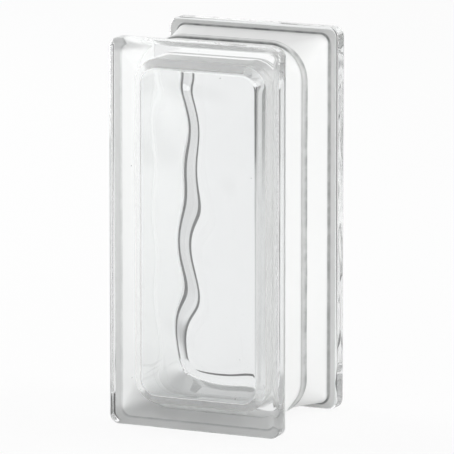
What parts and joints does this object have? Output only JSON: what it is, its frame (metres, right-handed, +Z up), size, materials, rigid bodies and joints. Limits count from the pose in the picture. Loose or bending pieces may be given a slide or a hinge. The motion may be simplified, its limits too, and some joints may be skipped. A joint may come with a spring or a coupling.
{
  "type": "glass block",
  "caption": "Hollow clear glass building block, tall half size, with smooth outer faces, pressed waves inside, rounded lips and a recessed, white-painted waist for mortar.",
  "frame": {"origin": "middle of the underside of the standing block, on the plane of the lips that it stands on", "axes": "+Z up along the block's long side, +X along its width, -Y out of the front face"},
  "size_m": [0.09, 0.08, 0.19],
  "materials": {
    "clear_glass": "clear pressed soda-lime glass, smooth outside and gently waved inside, with white paint on the recessed edge"
  },
  "bodies": {
    "root": {"glass_block": "clear_glass"}
  },
  "joints": []
}
